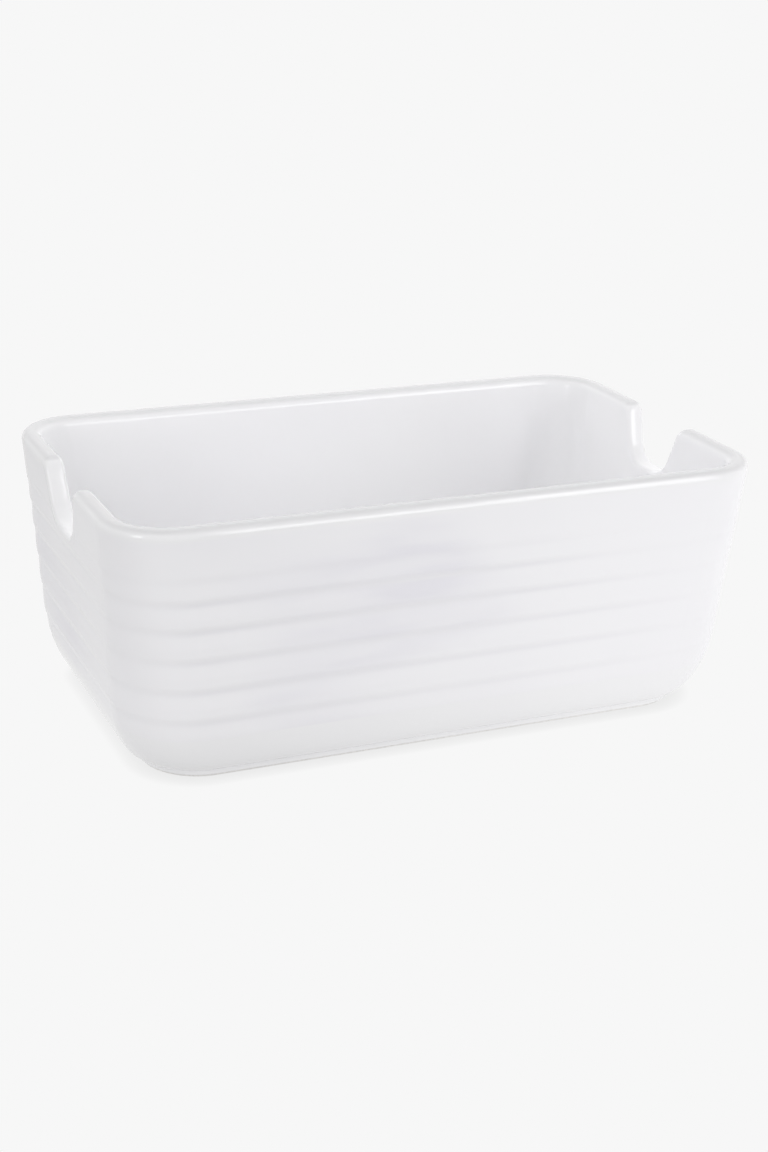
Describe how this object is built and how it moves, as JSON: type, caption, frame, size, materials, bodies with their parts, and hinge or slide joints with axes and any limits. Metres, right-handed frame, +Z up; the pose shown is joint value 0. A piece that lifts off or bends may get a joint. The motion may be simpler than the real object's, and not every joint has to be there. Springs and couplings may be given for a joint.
{
  "type": "sugar packet holder",
  "caption": "Open rectangular glazed ceramic caddy for sugar packets, with tapered grooved walls, a finger notch in each short end and a low foot ring.",
  "frame": {"origin": "on the table, under the middle of the foot ring", "axes": "+X along the long sides, from one finger notch to the other; +Y across the caddy; +Z up, out of the open top"},
  "size_m": [0.1208, 0.0724, 0.0474],
  "materials": {
    "clay": "matte",
    "glaze": "gloss"
  },
  "bodies": {
    "root": {"clay_body": "clay", "glaze_coat": "glaze", "base_glaze": "glaze"}
  },
  "joints": []
}
